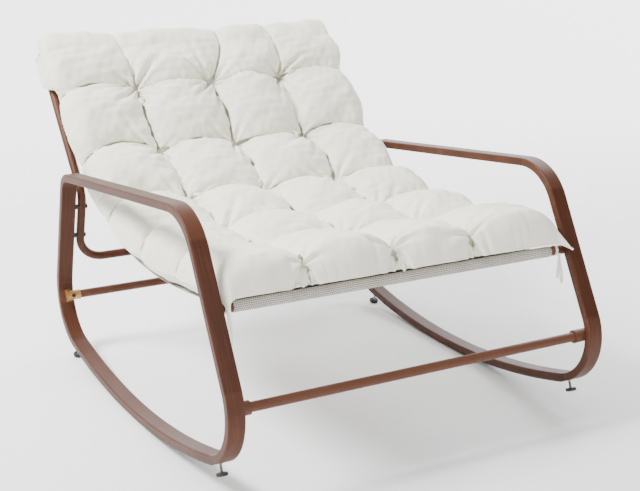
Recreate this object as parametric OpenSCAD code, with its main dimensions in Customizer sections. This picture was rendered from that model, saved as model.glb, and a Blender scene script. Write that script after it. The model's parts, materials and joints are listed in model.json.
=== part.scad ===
// Garden armchair on rockers: two closed tube loops carry a bent back frame, a mesh sling
// and one long tufted cushion. Screw feet on the loops stop the rocking.
// Lengths are millimetres and angles are degrees. X runs across the chair, Y to the rear.
// Side outlines are drawn as [y, z] points, with z = 0 at the lowest point of the rockers,
// and set_down() then leans the chair back until its rear feet touch the ground.

/* [Side loops] */
// Width over both side loops
chair_w = 980; // [900:5:1060]
// Width of the flat tube, across the chair
tube_w = 40; // [36:1:44]
// Depth of the flat tube, in the plane of its loop
tube_d = 20; // [18:1:24]
// Wall of the flat tube
tube_wall = 1.5; // [1.2:0.1:2]
// Corner radius of the flat tube
tube_corner = 3.5; // [3:0.5:5]
// Distance of the arms' front corner ahead of the chair's datum
arm_front_y = 340; // [320:5:360]
// Height of the arms' front corner
arm_front_z = 593.9; // [580:1:610]
// Distance of the arms' rear corner behind the chair's datum
arm_rear_y = 453.4; // [440:1:470]
// Height of the arms' rear corner
arm_rear_z = 512.4; // [500:1:525]
// Slope of the front legs from upright
leg_rake = 28.5; // [26:0.5:31]
// Slope of the rear posts from upright
post_rake = 16; // [13:0.5:19]
// Radius of the rockers
rocker_r = 1878; // [1500:10:2200]
// Distance of the rockers' lowest point behind the chair's datum
rocker_low_y = 36.4; // [20:1:50]
// Outer bend radius between arm and front leg
bend_arm_front = 136; // [110:1:150]
// Outer bend radius between front leg and rocker
bend_leg_foot = 133; // [115:1:150]
// Outer bend radius between rocker and rear post
bend_post_foot = 144; // [125:1:160]
// Outer bend radius between rear post and arm
bend_arm_rear = 54; // [45:1:60]
// Thickness of the rubber strip under each rocker
strip_t = 3; // [2:0.5:5]
// Width of the rubber strip
strip_w = 30; // [20:1:34]

/* [Cross members and back frame] */
// Outer diameter of the round tube
rod_d = 22; // [20:1:24]
// Wall of the round tube
rod_wall = 1.5; // [1.2:0.1:2]
// Distance from the arms' front corner down the leg to the seat bar
seat_bar_down = 215; // [190:5:240]
// Angle round the front foot bend at which the front stretcher sits
front_stretcher_angle = 173.4; // [165:0.5:180]
// Angle round the rear foot bend at which the rear stretcher sits
rear_stretcher_angle = 348.8; // [340:0.5:356]
// Outer diameter of the front stretcher's collars
collar_d = 31; // [29:0.5:34]
// Length of tube that each collar covers inside the loops
collar_reach = 23; // [15:1:35]
// Outer diameter of the rear stretcher's end fittings
fitting_d = 26; // [25:0.5:28]
// Outer diameter of the toothed flange on each end fitting
flange_d = 35; // [32:0.5:37]
// Width of the toothed flange
flange_w = 11; // [8:0.5:14]
// Teeth round the flange
flange_teeth = 14; // [10:1:18]
// Gap between the side loops and the back frame's tube
back_gap = 8; // [6:0.5:12]
// Distance down the post line from the arms' rear corner to the back's bend
back_bend_down = 69; // [60:1:80]
// Distance down the post line to the back frame's lower crossbar
crossbar_down = 262; // [240:2:285]
// Bend radius on the centre line of the back frame's lower corners
back_corner_r = 68; // [56:2:74]
// Bend radius on the centre line where the back leans away from the posts
back_bend_r = 46; // [42:1:50]
// Slope of the back from level
back_angle = 51.3; // [45:0.5:58]
// Length of the back from its bend to the top bar
back_len = 425; // [390:5:460]
// Thread diameter of the back frame's bolts
back_bolt_d = 8; // [8:1:9]
// Thread diameter of the cross members' bolts
cross_bolt_d = 6; // [5:1:6]

/* [Sling] */
// Gap between the mesh sling's edges and the back frame's tubes
sling_gap = 2; // [2:1:20]
// Thickness of the mesh
mesh_t = 1.5; // [1:0.1:2]
// Slope at which the sling leaves the seat bar, downwards
sling_front_slope = 10; // [5:0.5:14]
// Slope at which the sling reaches the top bar
sling_top_slope = 50.4; // [48:0.2:53]
// Reach of the seat's curve from the seat bar
sling_front_pull = 655; // [600:5:700]
// Reach of the back's curve from the top bar
sling_top_pull = 510; // [460:5:560]

/* [Cushion] */
// Gap between the cushion's sides and the side loops
cushion_gap = 2; // [2:1:20]
// Distance along the sling from the seat bar to the first row of tufts
tuft_first = 262; // [240:2:280]
// Distance along the sling from the last row of tufts to the top bar
tuft_last = 157; // [140:1:175]
// Rows of tufts
tuft_rows = 5; // [5:1:5]
// Height of the pillows in the seat above the sling
crown_seat = 100; // [85:1:115]
// Height of the pillows in the back above the sling
crown_back = 86; // [75:1:95]
// Height of the cushion where it rolls over the top bar
crown_top = 62; // [55:1:70]
// Height of the tufts in the back
tuft_back = 50; // [44:1:56]
// Height of the first row of tufts in the seat
tuft_seat = 66; // [56:1:72]
// Height of the side seam above the cushion's underside
seam_h = 32; // [26:1:36]
// Depth by which each row of tufts draws the sides in
side_draw = 13; // [6:1:20]
// Length by which the cushion hangs out ahead of the seat bar
cushion_front = 28; // [20:1:36]
// Width of the tie tapes
tie_w = 8; // [6:1:12]
// Thickness of the tie tapes
tie_t = 1.2; // [1:0.1:2]
// Length of a tie's hanging tails
tie_tail = 70; // [50:5:90]

/* [Screw feet] */
// Thread diameter of the feet
foot_thread_d = 6; // [5:1:8]
// Length of a foot's thread
foot_thread_len = 38; // [36:1:39]
// Travel of a foot's thread
foot_travel = 10; // [8:1:10]
// Angle round the front foot bend of the front feet
front_foot_angle = 249.5; // [244:0.5:252]
// Angle round the rear foot bend of the rear feet
rear_foot_angle = 286; // [284:0.5:290]
// Length of a foot's insert inside the loop
insert_len = 8; // [6:1:10]
// Diameter of the feet's pads
pad_d = 26; // [22:1:32]
// Thickness of the feet's pads
pad_t = 7; // [6:0.5:9]

/* [Hidden] */
$fn = 72;
rocker_fn = 720;

brown = [0.40, 0.26, 0.18];
cream = [0.93, 0.93, 0.90];
mesh_grey = [0.78, 0.76, 0.72];
black = [0.07, 0.07, 0.07];
brass = [0.60, 0.42, 0.18];
steel = [0.62, 0.62, 0.60];

// Clearances: of parts that seat on each other, bolts in their holes, plugs and collars on
// their tubes, threads, and the loops' butt seams and glue lines
seat_gap = 0.3;
hole_gap = 0.3;
fit_gap = 0.15;
thread_gap = 0.05;
seam_gap = 0.1;
bead_t = 0.03;
// Reach of a hole's cutter to either side of a tube's wall, and of larger cutters past a tube
hole_reach = 3;
cut = 10;

rod_r = rod_d / 2;
rod_bore_r = rod_r - rod_wall;
plug_r = rod_bore_r - fit_gap;
loop_x = (chair_w - tube_w) / 2;
loop_inner_x = loop_x - tube_w / 2;
back_x = loop_inner_x - back_gap - rod_r;
sling_w = 2 * (back_x - rod_r - sling_gap);
// Lengths past the loops' inner sides at which the cross members end and are bolted
end_in = 25;
bolt_in = 8;
rod_end_x = loop_inner_x + end_in;
bolt_x = loop_inner_x + bolt_in;
// Play at each end of the front stretcher inside its collar, and wall of the collar at its seat
collar_end = 8;
collar_seat = 2;
// Rear end fittings: distance inside the loops at which they start, spigot, notches of the flange
fitting_in = 13;
spigot_len = 22;
spigot_root = 2;
notch = [2, 3.2];
// Plugs of the seat bar: cap and length in the tube
cap_t = 2;
plug_len = 6;

// Plane geometry
function unit(v) = v / norm(v);
function left_of(d) = [-d.y, d.x];
function angle_of(d) = atan2(d.y, d.x);
function polar(a) = [cos(a), sin(a)];
function neat(v) = round(v * 1000) / 1000;
function turn(d1, d2) = (angle_of(d2) - angle_of(d1) + 360) % 360;
// Distance along a line from p towards d to its far meeting with a circle
function reach(p, d, centre, r) =
    let (b = (p - centre) * d) -b + sqrt(b * b - (p - centre) * (p - centre) + r * r);
// Arc of outer radius r that rounds the corner p between two directions: [centre, r, start, sweep]
function corner_arc(p, d1, d2, r) =
    let (sweep = turn(d1, d2), from = p - r * tan(sweep / 2) * d1)
    [from + r * left_of(d1), r, angle_of(-left_of(d1)), sweep];
function arc_from(arc) = arc[0] + arc[1] * polar(arc[2]);
function arc_to(arc) = arc[0] + arc[1] * polar(arc[2] + arc[3]);

// Outline of a side loop's outer face, from the arm's rear end forward, down and back
arm_front = [-arm_front_y, arm_front_z];
arm_rear = [arm_rear_y, arm_rear_z];
arm_dir = unit(arm_front - arm_rear);
leg_dir = [-sin(leg_rake), -cos(leg_rake)];
post_dir = [-sin(post_rake), cos(post_rake)];
leg_in = left_of(leg_dir);
post_in = left_of(post_dir);
rocker_c = [rocker_low_y, rocker_r];

arc_b = corner_arc(arm_front, arm_dir, leg_dir, bend_arm_front);
arc_a = corner_arc(arm_rear, post_dir, arm_dir, bend_arm_rear);
foot_front_c = arm_front + bend_leg_foot * leg_in
    + reach(arm_front + bend_leg_foot * leg_in, leg_dir, rocker_c, rocker_r - bend_leg_foot) * leg_dir;
foot_rear_c = arm_rear + bend_post_foot * post_in
    - reach(arm_rear + bend_post_foot * post_in, -post_dir, rocker_c, rocker_r - bend_post_foot)
    * post_dir;
rocker_from = (angle_of(foot_front_c - rocker_c) + 360) % 360;
rocker_to = (angle_of(foot_rear_c - rocker_c) + 360) % 360;
leg_angle = (angle_of(-leg_in) + 360) % 360;
arc_c = [foot_front_c, bend_leg_foot, leg_angle, rocker_from - leg_angle];
arc_d = [foot_rear_c, bend_post_foot, rocker_to, angle_of(-post_in) + 360 - rocker_to];
arc_rocker = [rocker_c, rocker_r, rocker_from, rocker_to - rocker_from];

// Centre lines that hang on that outline
post_axis = arm_rear + tube_d / 2 * post_in;
function on_post(down) = post_axis - down * post_dir;
seat_bar_c = arm_front + seat_bar_down * leg_dir + (tube_d + seat_gap + rod_r) * leg_in;
front_stretcher_off = bend_leg_foot - tube_d - rod_r - collar_seat;
front_stretcher_c = foot_front_c + front_stretcher_off * polar(front_stretcher_angle);
rear_stretcher_off = bend_post_foot - tube_d - rod_r - seat_gap;
rear_stretcher_c = foot_rear_c + rear_stretcher_off * polar(rear_stretcher_angle);
crossbar_c = on_post(crossbar_down);
back_corner = on_post(back_bend_down);
back_dir = polar(back_angle);
top_bar_c = back_corner + back_len * back_dir;
back_turn = 90 + post_rake - back_angle;
back_bend_t = back_bend_r * tan(back_turn / 2);
top_bar_end_x = back_x + rod_r;

// Distances down the post line to the back frame's bolts, whose heads clear its bends
function head_r(d) = 0.85 * d;
head_clear = 0.5;
back_bolts_down = [back_bend_down + back_bend_t + head_r(back_bolt_d) + head_clear,
    crossbar_down - back_corner_r - head_r(back_bolt_d) - head_clear];

// Screw feet
foot_hole_r = foot_thread_d / 2 + thread_gap;
insert_wall = 2;
insert_r = foot_thread_d / 2 + insert_wall;
insert_flange = 2;
insert_flange_t = 0.9;
pad_r = pad_d / 2;
pad_edge = 1;
pad_head_r = pad_r / 2;
pad_head_t = 2;
pad_head_in = 2;
stem_clear = 0.5;
front_stem_out = foot_thread_len - tube_d + tube_wall + stem_clear;
rear_stem_out = front_stem_out + foot_travel;

// Lean at which the rockers and the rear feet's pads both touch the ground
rest_r = rocker_r + strip_t;
pad_face_r = pad_r - pad_edge;
foot_tilt = rear_foot_angle - 270;
rear_pad_face = foot_rear_c + (bend_post_foot + rear_stem_out + pad_t) * polar(rear_foot_angle);
lean_y = rocker_c.x - rear_pad_face.x + pad_face_r * cos(foot_tilt);
lean_z = rocker_c.y - rear_pad_face.y + pad_face_r * sin(foot_tilt);
lean = -acos(rest_r / norm([lean_y, lean_z])) - atan2(lean_y, lean_z);
function leaned(p) = [p.x * cos(lean) + p.y * sin(lean), p.y * cos(lean) - p.x * sin(lean)];

// Sling's curve, from the seat bar's centre line to the top bar's
sleeve_in = rod_r + seat_gap;
sleeve_r = sleeve_in + mesh_t;
sling_p1 = seat_bar_c + sling_front_pull * polar(-sling_front_slope);
sling_p2 = top_bar_c - sling_top_pull * polar(sling_top_slope);
function sling_at(t) = pow(1 - t, 3) * seat_bar_c + 3 * pow(1 - t, 2) * t * sling_p1
    + 3 * (1 - t) * t * t * sling_p2 + pow(t, 3) * top_bar_c;
function sling_dir(t) = unit(pow(1 - t, 2) * (sling_p1 - seat_bar_c)
    + 2 * (1 - t) * t * (sling_p2 - sling_p1) + t * t * (top_bar_c - sling_p2));
sling_steps = 48;
function step_at(i) = sling_at(i / sling_steps);
function run_to(i) = i == 0 ? 0 : run_to(i - 1) + norm(step_at(i) - step_at(i - 1));
sling_runs = [for (i = [0 : sling_steps]) [run_to(i), i / sling_steps]];
sling_len = sling_runs[sling_steps][0];

// Cushion's grid: v runs along the sling from the seat bar, h stands square to it
tuft_pitch_v = (sling_len - tuft_first - tuft_last) / (tuft_rows - 1);
under_gap = mesh_t / 2 + seat_gap;
bar_lift = sleeve_r + 2 * seat_gap + seam_gap;
bar_flat = 10;
bar_ease = 70;
side_lift = rod_r + 5;
side_ease = 170;
side_from = side_ease + bar_ease;
roll_r = 16;
roll_turn = 140;
cushion_half = loop_inner_x - cushion_gap;
tuft_pitch_x = cushion_half / 2;
side_round = 56;
end_round = 60;
round_power = 2.3;
pillow_power = 0.6;
line_share = 0.4;
seam_cover = 14;
crown_ease_from = 500;
crown_ease = 600;
roll_ease = 110;
function smooth(t) = let (c = min(1, max(0, t))) c * c * (3 - 2 * c);
function rounding(d, r) = d >= r ? 1 : pow(1 - pow(1 - max(0, d) / r, round_power), 1 / round_power);
function heading(v) = v <= 0 ? -sling_front_slope
    : v >= sling_len ? sling_top_slope - (v - sling_len) / roll_r * 180 / PI
    : angle_of(sling_dir(lookup(v, sling_runs)));
function path(v) = v <= 0 ? seat_bar_c + v * polar(-sling_front_slope)
    : v >= sling_len ? top_bar_c : sling_at(lookup(v, sling_runs));
cushion_end = sling_len + roll_r * roll_turn * PI / 180;
function pillow(s) = pow(abs(sin(180 * s)), pillow_power);
function row_of(v) = 1 + (v - tuft_first) / tuft_pitch_v;
function fill_v(v) = let (b = row_of(v)) b < 0.5 || b > tuft_rows + 0.5 ? 1 : pillow(b);
function fill_x(x) = let (a = abs(x) / tuft_pitch_x) a > 1.5 ? 1 : pillow(a);
function crown(v) = v > sling_len - roll_ease
    ? crown_top + (crown_back - crown_top) * smooth((sling_len - v) / roll_ease)
    : crown_seat + (crown_back - crown_seat) * smooth((v - crown_ease_from) / crown_ease);
function tuft(v) = tuft_seat + (tuft_back - tuft_seat) * smooth((v - tuft_first) / (2 * tuft_pitch_v));
function top_h(x, v) =
    let (gx = fill_x(x), gv = fill_v(v), t = tuft(v), c = crown(v), line = t + line_share * (c - t))
    t + (line - t) * (gx + gv - gx * gv) + (c - line) * gx * gv;
// The underside lifts over the two bars and over the back frame's side tubes
function under_h(x, v) = max(under_gap,
    bar_lift * (1 - smooth((v - bar_flat) / bar_ease)),
    bar_lift * smooth((v - sling_len + bar_ease + bar_flat / 2) / bar_ease),
    abs(x) > back_x - rod_d ? side_lift * smooth((v - sling_len + side_from) / side_ease) : 0);
function half_width(v) = cushion_half - side_draw * (1 - fill_v(v));
function swell(x, v) = let (e = min(v + cushion_front, (cushion_end - v) * 2.2))
    rounding(half_width(v) - abs(x), side_round) * rounding(e, end_round);
function seam(x, v) = under_h(x, v) + seam_h;
function surface_h(x, v, up) = let (m = seam(x, v), s = swell(x, v))
    up ? m + (max(top_h(x, v), m + seam_cover) - m) * s : m + (under_h(x, v) - m) * s;
function cushion_point(x, v, up) =
    let (p = path(v) + surface_h(x, v, up) * left_of(polar(heading(v)))) [x, p.x, p.y];
cell = tuft_pitch_v / 4;
front_rows = [0, 7, 26];
roll_rows = 5;
roll_run = cushion_end - sling_len;
cushion_rows = concat(
    [for (row = front_rows) row - cushion_front],
    [for (k = [1 : 4 * (tuft_rows + 1) - 2]) tuft_first - tuft_pitch_v + k * cell - cell],
    [sling_len - 2 * roll_r],
    [for (k = [0 : roll_rows - 1]) sling_len + roll_run * k / roll_rows],
    [cushion_end - 2, cushion_end]);
half_cols = 9;
edge_col = 16;
function cushion_x(k, v) = sign(k) * (abs(k) == half_cols ? half_width(v)
    : abs(k) == half_cols - 1 ? half_width(v) - edge_col : abs(k) * tuft_pitch_x / 4);
cols = 2 * half_cols + 1;
rows = len(cushion_rows);
cushion_top = [for (v = cushion_rows) for (k = [-half_cols : half_cols])
    cushion_point(cushion_x(k, v), v, true)];
cushion_under = [for (v = cushion_rows) for (k = [-half_cols : half_cols])
    cushion_point(cushion_x(k, v), v, false)];

// Depth over all, which sets the chair's middle
front_y = leaned(foot_front_c).x - bend_leg_foot;
rear_y = max([for (p = cushion_top) leaned([p.y, p.z]).x]);
floor_lift = rest_r - leaned(rocker_c).y;

module set_down() {
    translate([0, -(front_y + rear_y) / 2, floor_lift]) rotate([-lean, 0, 0]) children();
}

// Turns a plan drawn in [y, z] into the plane across X at the given x
module side_plane(x) {
    translate([x, 0, 0]) rotate([90, 0, 90]) children();
}

// Tubes are drawn as a run of lengths and bends, each of which starts where the last one ends,
// heading along X with its left side along Y
module section(kind) {
    if (kind == "flat") loop_section();
    else rod_section();
}

module ahead(kind, len) {
    rotate([90, 0, 90]) linear_extrude(height = len) section(kind);
    translate([len, 0, 0]) children();
}

module bend_left(kind, r, sweep) {
    translate([0, r, 0]) rotate([0, 0, -90]) rotate_extrude(angle = sweep)
        translate([r, 0]) section(kind);
    translate([0, r, 0]) rotate([0, 0, sweep]) translate([0, -r, 0]) {
        rotate([90, 0, 90]) linear_extrude(height = 8 * bead_t, center = true) bead(kind);
        children();
    }
}

// A hairline step in the tube's wall where a bend ends
module bead(kind) {
    if (kind == "flat") difference() {
        flat_section(tube_d + 2 * bead_t, tube_w + 2 * bead_t, tube_corner, 4);
        flat_section(tube_d - 2 * (tube_wall + bead_t), tube_w - 2 * (tube_wall + bead_t),
            tube_corner - tube_wall, 2);
    }
    else difference() {
        circle(r = rod_r + bead_t);
        circle(r = rod_bore_r - bead_t);
    }
}

// Stands children at p in the side plane, with their Z along dir
module along(p, dir) {
    translate([p.x, p.y, 0]) rotate([0, 0, angle_of(dir)]) rotate([0, 90, 0]) children();
}

module pin(p, dir, r, h) {
    along(p, dir) cylinder(h = h, r = r);
}

module flat_section(d, w, r, steps) {
    corners = [[1, 1], [-1, 1], [-1, -1], [1, -1]];
    polygon([for (k = [0 : 3]) for (i = [0 : steps])
        [corners[k].x * (d / 2 - r), corners[k].y * (w / 2 - r)] + r * polar(90 * (k + i / steps))]);
}

module loop_section() {
    difference() {
        flat_section(tube_d, tube_w, tube_corner, 4);
        flat_section(tube_d - 2 * tube_wall, tube_w - 2 * tube_wall, tube_corner - tube_wall, 2);
    }
}

module rod_section() {
    difference() {
        circle(r = rod_r);
        circle(r = rod_bore_r);
    }
}

// One closed tube, from its butt seam behind the rocker up the post and round to the seam again
module loop_tube() {
    half = tube_d / 2;
    start = arc_from(arc_d) + half * left_of(polar(rocker_to + 90));
    rocker_sweep = neat(arc_rocker[3] - seam_gap / rocker_r * 180 / PI);
    translate([start.x, start.y, 0]) rotate([0, 0, rocker_to + 90])
        bend_left("flat", bend_post_foot - half, neat(arc_d[3]))
        ahead("flat", neat(norm(arc_from(arc_a) - arc_to(arc_d))))
        bend_left("flat", bend_arm_rear - half, neat(arc_a[3]))
        ahead("flat", neat(norm(arc_from(arc_b) - arc_to(arc_a))))
        bend_left("flat", bend_arm_front - half, neat(arc_b[3]))
        ahead("flat", neat(norm(arc_from(arc_c) - arc_to(arc_b))))
        bend_left("flat", bend_leg_foot - half, neat(arc_c[3]))
        bend_left("flat", rocker_r - half, rocker_sweep, $fn = rocker_fn);
}

// Places of the bolts that hold the cross members: [head seat, direction into the loop, length]
seat_bolt_seat = seat_bar_c + rod_r * leg_in;
front_bolt_out = polar(front_stretcher_angle);
rear_bolt_out = polar(rear_stretcher_angle);
bolt_past = 12;
seat_bolt = [seat_bolt_seat, -leg_in, rod_d + seat_gap + bolt_past];
front_bolt = [front_stretcher_c - collar_d / 2 * front_bolt_out, front_bolt_out,
    collar_d / 2 + rod_r + collar_seat + bolt_past];
rear_bolt = [rear_stretcher_c - fitting_d / 2 * rear_bolt_out, rear_bolt_out,
    fitting_d / 2 + rod_r + seat_gap + bolt_past];
leg_rivet_down = 295;
rivet_r = 2;
rivet_in = 5;
top_plug_len = 26;
top_bolt_past = 18;
nut_len = 13;
nut_wall = 1.4;
nut_bulge = 1;
nut_bulge_len = 4;
spacer_wall = 2.5;

// A rivet nut: Z runs out of its mouth, which lies flush with the tube's face at height 0
module rivet_nut(d) {
    bore = d / 2 + thread_gap;
    body = d / 2 + nut_wall;
    neck = tube_wall + seat_gap;
    bulge = body + nut_bulge;
    rotate_extrude() polygon([[bore, -nut_len], [body, -nut_len], [body, -neck - nut_bulge_len],
        [bulge, -neck - nut_bulge_len], [bulge, -neck], [body, -neck], [body, 0], [bore, 0]]);
}

// A button head bolt: Z runs up out of its head, which sits at height 0
module bolt(d, len) {
    difference() {
        rotate_extrude() polygon([[0, -len], [d / 2, -len], [d / 2, 0], [head_r(d), 0],
            [head_r(d), 0.25 * d], [0.6 * d, 0.45 * d], [0, 0.45 * d]]);
        translate([0, 0, 0.15 * d]) cylinder(h = d, r = 0.3 * d, $fn = 6);
    }
}

function leg_face(b) = b == 0 ? seat_bolt_seat - (rod_d + seat_gap) * leg_in
    : b == 1 ? foot_front_c + (bend_leg_foot - tube_d) * front_bolt_out
    : foot_rear_c + (bend_post_foot - tube_d) * rear_bolt_out;
cross_bolt_list = [seat_bolt, front_bolt, rear_bolt];

module side_loop(side) {
    color(brown) difference() {
        side_plane(side * loop_x) loop_tube();
        side_plane(side * bolt_x) for (b = [0 : 2])
            pin(leg_face(b) - hole_reach * cross_bolt_list[b][1], cross_bolt_list[b][1],
                cross_bolt_d / 2 + nut_wall + thread_gap, 2 * hole_reach);
        for (down = back_bolts_down) back_bolt_place(side, down) cylinder(h = 2 * hole_reach,
            r = back_bolt_d / 2 + nut_wall + thread_gap, center = true);
        side_plane(side * loop_x) for (front = [true, false])
            pin(foot_point(front, hole_reach), -foot_dir(front), insert_r + thread_gap, 2 * hole_reach);
        leg_rivet_place(side) cylinder(h = 2 * hole_reach, r = rivet_r + seam_gap, center = true);
    }
}

module rocker_strip(side) {
    color(black) side_plane(side * loop_x)
        translate([rocker_c.x, rocker_c.y, 0]) rotate([0, 0, rocker_from])
            rotate_extrude(angle = arc_rocker[3], $fn = rocker_fn)
                translate([rocker_r + seam_gap, -strip_w / 2]) square([strip_t - seam_gap, strip_w]);
}

// A straight round tube across the chair
module cross_tube(c, end_x) {
    translate([-end_x, c.x, c.y]) rotate([90, 0, 90]) linear_extrude(height = 2 * end_x) rod_section();
}

// Both sides' holes for one cross bolt
module cross_holes(b) {
    for (side = [-1, 1]) side_plane(side * bolt_x)
        pin(cross_bolt_list[b][0] - cross_bolt_list[b][1], cross_bolt_list[b][1],
            cross_bolt_d / 2 + hole_gap, cross_bolt_list[b][2]);
}

module front_stretcher() {
    color(brown) difference() {
        cross_tube(front_stretcher_c, rod_end_x - collar_end);
        cross_holes(1);
    }
}

module rear_stretcher() {
    color(brown) cross_tube(rear_stretcher_c, loop_inner_x - fitting_in);
}

module seat_bar() {
    color(brown) difference() {
        cross_tube(seat_bar_c, rod_end_x);
        cross_holes(0);
    }
}

// Material that lies in or beyond the inner face of a foot bend, between a loop's sides
module beyond_bend(side, c, r) {
    side_plane(side * (loop_inner_x - seat_gap) - (side < 0 ? tube_w + cut : 0))
        translate([c.x, c.y, 0]) difference() {
            cylinder(h = tube_w + cut, r = r + tube_w, $fn = 144);
            translate([0, 0, -cut]) cylinder(h = tube_w + 3 * cut, r = r - seat_gap, $fn = 144);
        }
}

module across(side, c, x0) {
    translate([side * x0, c.x, c.y]) rotate([0, side * 90, 0]) children();
}

module front_stretcher_collars() {
    collar_x = loop_inner_x - collar_reach;
    color(brown) for (side = [-1, 1]) difference() {
        across(side, front_stretcher_c, collar_x) cylinder(h = rod_end_x - collar_x, r = collar_d / 2);
        across(side, front_stretcher_c, collar_x - cut)
            cylinder(h = rod_end_x - collar_end + seat_gap - collar_x + cut, r = rod_r + fit_gap);
        beyond_bend(side, foot_front_c, bend_leg_foot - tube_d);
        cross_holes(1);
    }
}

module rear_stretcher_fittings() {
    fitting_x = loop_inner_x - fitting_in;
    flange_x = rod_end_x - flange_w;
    color(brass) for (side = [-1, 1]) difference() {
        union() {
            across(side, rear_stretcher_c, fitting_x - spigot_len)
                cylinder(h = spigot_len + spigot_root, r = plug_r);
            across(side, rear_stretcher_c, fitting_x)
                cylinder(h = rod_end_x - fitting_x, r = fitting_d / 2);
            across(side, rear_stretcher_c, flange_x) cylinder(h = flange_w, r = flange_d / 2);
        }
        across(side, rear_stretcher_c, flange_x - hole_reach) for (k = [0 : flange_teeth - 1])
            rotate([0, 0, 360 * k / flange_teeth]) translate([flange_d / 2 - notch.x, -notch.y / 2, 0])
                cube([2 * notch.x, notch.y, flange_w + 2 * hole_reach]);
        beyond_bend(side, foot_rear_c, bend_post_foot - tube_d);
        cross_holes(2);
    }
}

module seat_bar_plugs() {
    color(black) for (side = [-1, 1]) {
        across(side, seat_bar_c, rod_end_x) cylinder(h = cap_t, r = rod_r);
        across(side, seat_bar_c, rod_end_x - plug_len) cylinder(h = plug_len, r = plug_r);
    }
}

module back_frame() {
    lower_len = crossbar_down - back_bend_down - back_bend_t - back_corner_r;
    color(brown) difference() {
        translate([0, crossbar_c.x, crossbar_c.y]) rotate([90 + post_rake, 0, 0])
            for (side = [0, 1]) mirror([side, 0, 0])
                ahead("rod", back_x - back_corner_r)
                bend_left("rod", back_corner_r, 90)
                ahead("rod", neat(lower_len))
                rotate([-90, 0, 0]) bend_left("rod", back_bend_r, neat(back_turn))
                ahead("rod", neat(back_len - back_bend_t - rod_r - seat_gap));
        for (side = [-1, 1]) for (down = back_bolts_down) back_bolt_place(side, down)
            translate([0, 0, back_gap - cut])
                cylinder(h = rod_d + 2 * cut, r = back_bolt_d / 2 + hole_gap);
    }
}

module top_bar() {
    color(brown) difference() {
        cross_tube(top_bar_c, top_bar_end_x);
        for (side = [-1, 1]) side_plane(side * back_x)
            pin(top_bar_c - rod_d * back_dir, back_dir, cross_bolt_d / 2 + hole_gap, 2 * rod_d);
    }
}

module top_bar_plugs() {
    color(steel) for (side = [-1, 1]) side_plane(side * back_x) difference() {
        pin(top_bar_c - (rod_r + top_plug_len) * back_dir, back_dir, plug_r, top_plug_len - seat_gap);
        pin(top_bar_c - (rod_r + top_plug_len + hole_reach) * back_dir, back_dir,
            cross_bolt_d / 2 + thread_gap, top_plug_len + 2 * hole_reach);
    }
}

module top_bar_bolts() {
    color(black) for (side = [-1, 1]) side_plane(side * back_x)
        along(top_bar_c + rod_r * back_dir, back_dir) bolt(cross_bolt_d, rod_d + top_bolt_past);
}

module cross_bolts() {
    color(black) for (side = [-1, 1]) side_plane(side * bolt_x) for (b = cross_bolt_list)
        along(b[0], -b[1]) bolt(cross_bolt_d, b[2]);
}

// Z runs out of the loop's inner face towards the back frame at one bolt
module back_bolt_place(side, down) {
    p = on_post(down);
    translate([side * loop_inner_x, p.x, p.y]) rotate([0, -side * 90, 0]) children();
}

module back_frame_spacers() {
    color(black) for (side = [-1, 1]) for (down = back_bolts_down) difference() {
        back_bolt_place(side, down) cylinder(h = back_gap + rod_r / 2, r = back_bolt_d / 2 + spacer_wall);
        back_bolt_place(side, down) translate([0, 0, -hole_reach])
            cylinder(h = back_gap + rod_d, r = back_bolt_d / 2 + hole_gap);
        translate([side * back_x, on_post(down).x, on_post(down).y]) rotate([post_rake, 0, 0])
            cylinder(h = 2 * rod_d, r = rod_r + seam_gap, center = true);
    }
}

module back_frame_bolts() {
    color(black) for (side = [-1, 1]) for (down = back_bolts_down) back_bolt_place(side, down)
        translate([0, 0, back_gap + rod_d]) bolt(back_bolt_d, back_gap + rod_d + nut_len);
}

module rivet_nuts() {
    color(steel) for (side = [-1, 1]) {
        side_plane(side * bolt_x) for (b = [0 : 2])
            along(leg_face(b), -cross_bolt_list[b][1]) rivet_nut(cross_bolt_d);
        for (down = back_bolts_down) back_bolt_place(side, down) rivet_nut(back_bolt_d);
    }
}

// Z runs out of a front leg's inner face at its rivet
module leg_rivet_place(side) {
    p = arm_front + leg_rivet_down * leg_dir + tube_d * leg_in;
    translate([side * (loop_x + tube_w / 4), p.x, p.y]) rotate([angle_of(leg_in) - 90, 0, 0]) children();
}

module leg_rivets() {
    color(brass) for (side = [-1, 1]) leg_rivet_place(side)
        rotate_extrude() polygon([[0, -rivet_in], [rivet_r, -rivet_in], [rivet_r, 0], [2.2 * rivet_r, 0],
            [1.6 * rivet_r, 1.1 * rivet_r], [0, 1.4 * rivet_r]]);
}

// Foot positions in the side plane
function foot_dir(front) = polar(front ? front_foot_angle : rear_foot_angle);
function foot_point(front, out) = (front ? foot_front_c : foot_rear_c)
    + ((front ? bend_leg_foot : bend_post_foot) + out) * foot_dir(front);
function stem_out(front) = front ? front_stem_out : rear_stem_out;

module foot_inserts() {
    flange = insert_r + insert_flange;
    color(steel) for (side = [-1, 1]) side_plane(side * loop_x) for (front = [true, false])
        along(foot_point(front, seat_gap), foot_dir(front)) rotate_extrude()
            polygon([[foot_hole_r, -insert_len], [insert_r, -insert_len], [insert_r, 0], [flange, 0],
                [flange, insert_flange_t], [foot_hole_r, insert_flange_t]]);
}

// A threaded stem with a flat head that turns inside the pad
module foot_stem(side, front) {
    stem_r = foot_thread_d / 2;
    tip = -foot_thread_len - pad_head_in;
    color(steel) side_plane(side * loop_x)
        along(foot_point(front, stem_out(front) + pad_head_in), foot_dir(front)) rotate_extrude()
            polygon([[0, tip], [stem_r, tip], [stem_r, 0], [pad_head_r, 0], [pad_head_r, pad_head_t],
                [0, pad_head_t]]);
}

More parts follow.
